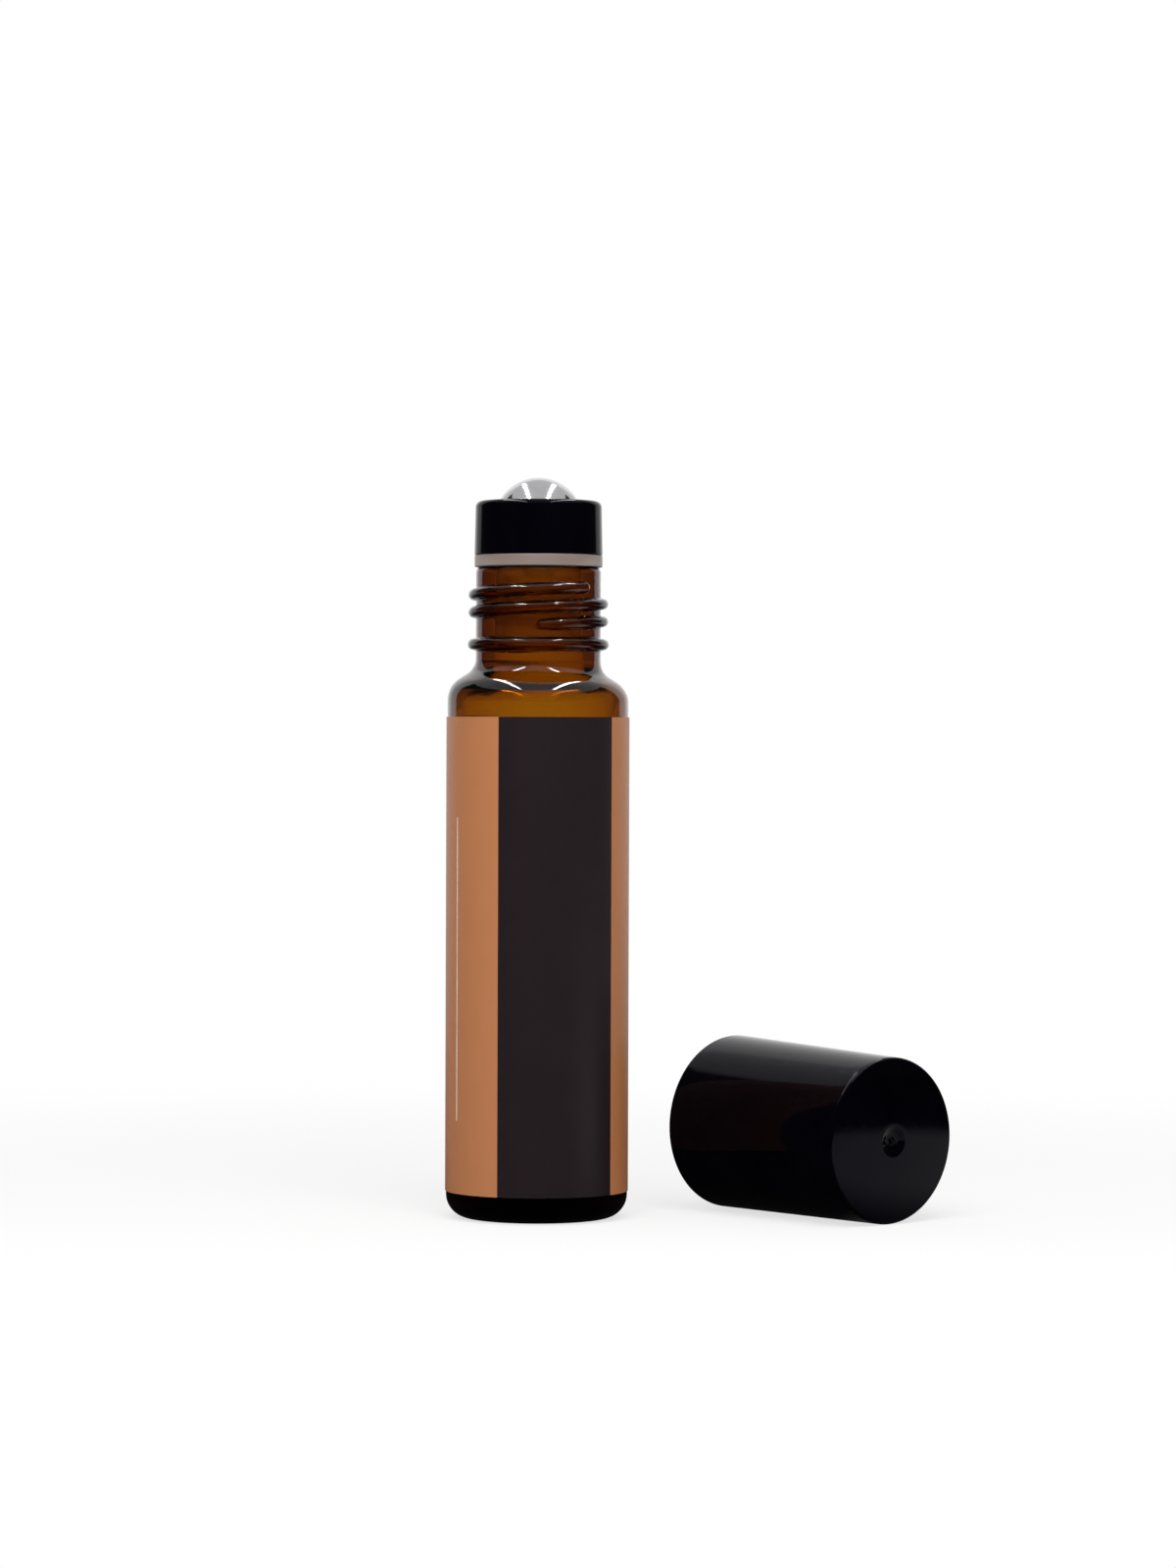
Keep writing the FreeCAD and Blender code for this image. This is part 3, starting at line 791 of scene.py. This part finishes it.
# Studio, in metres: a white sweep behind, a dim room in front, two strip lamps overhead.
# An edge is the span over which one part of the room turns into the next.
studio = {
    "floorSize": 6.0,
    "floorDrop": 0.00003,      # keeps the floor clear of the base
    "floorColour": (0.86, 0.86, 0.86, 1.0),
    "floorRoughness": 0.9,
    "shadowShare": 0.3,        # how much of the floor's own shading the camera sees
    "shadowReach": (0.03, 0.22),
    "floorFront": 0.01,        # floor as the pieces mirror it, in front and behind
    "floorBack": 0.9,
    "floorTurn": (0.05, 0.5),
    "paintedPool": (0.095, -0.016, 0.0),  # painted pool of light: a patch of floor that glows for mirrored rays only, for the cap's end to mirror
    "poolReach": (0.03, 0.065),
    "poolLevel": 1.0,
    "fill": 0.51,              # the room's light on the pieces
    "dimRoom": 0.05,           # the room as the pieces mirror it, from here to the ceiling
    "backdrop": 1.15,
    "backdropEdge": (0.77, 0.87),
    "sideWalls": 0.85,
    "sideEdge": (0.58, 0.64),
    "ceiling": 0.78,
    "ceilingEdge": (0.655, 0.685),
    "throughCeiling": 0.05,    # ceiling as seen through the glass
    "throughEdge": (0.35, 0.6),
    "innerMirror": 0.55,       # what is left of light that bounced inside the glass
    "stripPlace": (0.195, 0.04),
    "stripAim": 0.05,
    "stripLength": 0.8,
    "softPanel": {"height": 0.6, "width": 0.06, "power": 0.25},
    "brightTube": {"height": 0.59, "width": 0.028, "power": 2.4},
    "keyPlace": (0.0, -0.22, 0.28),
    "keyAim": (0.0, 0.0, 0.04),
    "keySize": (0.3, 0.3),
    "keyPower": 1.15,
}


def combine(tree, operation, first, second):
    return addNode(tree, "Math", {0: first, 1: second}, operation=operation).outputs["Value"]


def blendNumbers(tree, factor, first, second):
    node = addNode(tree, "Mix", {"Factor": factor, "A": first, "B": second}, data_type="FLOAT")
    return node.outputs["Result"]


def softStep(tree, value, edge, low, high):
    return mapRange(tree, value, edge, (low, high), "SMOOTHSTEP")


def makeFloor(values):
    half = values["floorSize"] / 2
    below = -values["floorDrop"]
    mesh = bpy.data.meshes.new("floor")
    corners = [(-half, -half, below), (half, -half, below), (half, half, below), (-half, half, below)]
    mesh.from_pydata(corners, [], [(0, 1, 2, 3)])
    floor = bpy.data.objects.new("floor", mesh)
    scene.collection.objects.link(floor)
    material, tree, shader = newMaterial(
        "paleFloor", Base_Color=values["floorColour"], Roughness=values["floorRoughness"],
        Specular_IOR_Level=0.0)
    path = addNode(tree, "LightPath").outputs
    place = addNode(tree, "TexCoord").outputs["Object"]
    backward = addNode(tree, "SeparateXYZ", {"Vector": place}).outputs["Y"]
    away = addNode(tree, "VectorMath", {0: place}, operation="LENGTH").outputs["Value"]
    # Painted pool of light on the floor, a glow that only mirrored rays see
    fromPool = addNode(tree, "VectorMath", {0: place, 1: values["paintedPool"]}, operation="DISTANCE")
    paintedPool = softStep(tree, fromPool.outputs["Value"], values["poolReach"], values["poolLevel"], 0.0)
    sweep = softStep(tree, backward, values["floorTurn"], values["floorFront"], values["floorBack"])
    level = blendNumbers(tree, path["Is Glossy Ray"], 1.0, combine(tree, "MAXIMUM", sweep, paintedPool))
    glow = addNode(tree, "Emission", {"Strength": level}).outputs["Emission"]
    shadow = softStep(tree, away, values["shadowReach"], values["shadowShare"], 0.0)
    white = combine(tree, "SUBTRACT", 1.0, shadow)
    white = blendNumbers(tree, path["Is Glossy Ray"], white, 1.0)
    seen = combine(tree, "MAXIMUM", path["Is Camera Ray"], path["Is Transmission Ray"])
    seen = combine(tree, "MAXIMUM", seen, path["Is Glossy Ray"])
    share = combine(tree, "MULTIPLY", seen, white)
    mixed = addNode(tree, "MixShader", {0: share, 1: shader.outputs["BSDF"], 2: glow})
    tree.links.new(mixed.outputs["Shader"], tree.get_output_node("ALL").inputs["Surface"])
    mesh.materials.append(material)


def makeRoom(values):
    world = bpy.data.worlds.new("room")
    scene.world = world
    world.use_nodes = True
    world.cycles.sampling_method = "NONE"
    tree = world.node_tree
    tree.nodes.clear()
    path = addNode(tree, "LightPath").outputs
    direction = addNode(tree, "TexCoord").outputs["Generated"]
    flat = addNode(tree, "VectorMath", {0: direction, 1: (1, 1, 0)}, operation="MULTIPLY").outputs["Vector"]
    heading = addNode(tree, "VectorMath", {0: flat}, operation="NORMALIZE").outputs["Vector"]
    backward = addNode(tree, "SeparateXYZ", {"Vector": heading}).outputs["Y"]
    upward = addNode(tree, "SeparateXYZ", {"Vector": direction}).outputs["Z"]
    sides = softStep(tree, backward, values["sideEdge"], values["dimRoom"], values["sideWalls"])
    backdrop = softStep(tree, backward, values["backdropEdge"], 0.0, values["backdrop"])
    overhead = softStep(tree, upward, values["ceilingEdge"], 0.0, 1.0)
    mirrored = blendNumbers(tree, overhead, combine(tree, "MAXIMUM", sides, backdrop), values["ceiling"])
    inRoom = blendNumbers(tree, path["Is Glossy Ray"], values["fill"], mirrored)
    through = softStep(tree, upward, values["throughEdge"], 1.0, values["throughCeiling"])
    bounced = softStep(tree, path["Glossy Depth"], (0.0, 1.0), 1.0, values["innerMirror"])
    pastGlass = combine(tree, "MULTIPLY", through, bounced)
    unseen = blendNumbers(tree, path["Is Transmission Ray"], inRoom, pastGlass)
    level = blendNumbers(tree, path["Is Camera Ray"], unseen, 1.0)
    background = addNode(tree, "Background", {"Color": (1, 1, 1, 1), "Strength": level})
    addNode(tree, "OutputWorld", {"Surface": background.outputs["Background"]})


def addLamp(name, place, target, size, power):
    lamp = bpy.data.lights.new(name, "AREA")
    lamp.shape = "RECTANGLE"
    lamp.size, lamp.size_y = size
    lamp.energy = power
    holder = bpy.data.objects.new(name, lamp)
    holder.location = place
    holder.rotation_mode = "QUATERNION"
    holder.rotation_quaternion = (Vector(place) - Vector(target)).to_track_quat("Z", "Y")
    scene.collection.objects.link(holder)
    return holder


# The strips are there to be mirrored, and the key lamp only lights
def makeLamps(values):
    across, along = values["stripPlace"]
    aim = (0, along, values["stripAim"])
    for name in ("softPanel", "brightTube"):
        strip = values[name]
        for side in (-across, across):
            place = (side, along, strip["height"])
            lamp = addLamp(name, place, aim, (values["stripLength"], strip["width"]), strip["power"])
            lamp.visible_diffuse = False
    key = addLamp("softKey", values["keyPlace"], values["keyAim"], values["keySize"], values["keyPower"])
    key.visible_glossy = False


makeFloor(studio)
makeRoom(studio)
makeLamps(studio)
print("studio made")

# Camera at the photograph's viewpoint
camera = {
    "place": (5.54, -530.0, 54.0),
    "pitch": 0.6665,           # degrees below the horizon
    "roll": 0.2,
    "lens": 110.26,
    "sensor": 36.0,
}


def makeCamera(values):
    lens = bpy.data.cameras.new("camera")
    lens.lens = values["lens"]
    lens.sensor_width = values["sensor"]
    holder = bpy.data.objects.new("camera", lens)
    holder.location = Vector(values["place"]) * mm
    aim = Matrix.Rotation(math.radians(90 - values["pitch"]), 3, "X")
    holder.rotation_euler = (aim @ Matrix.Rotation(math.radians(values["roll"]), 3, "Z")).to_euler()
    scene.collection.objects.link(holder)
    scene.camera = holder


makeCamera(camera)
print("camera set")
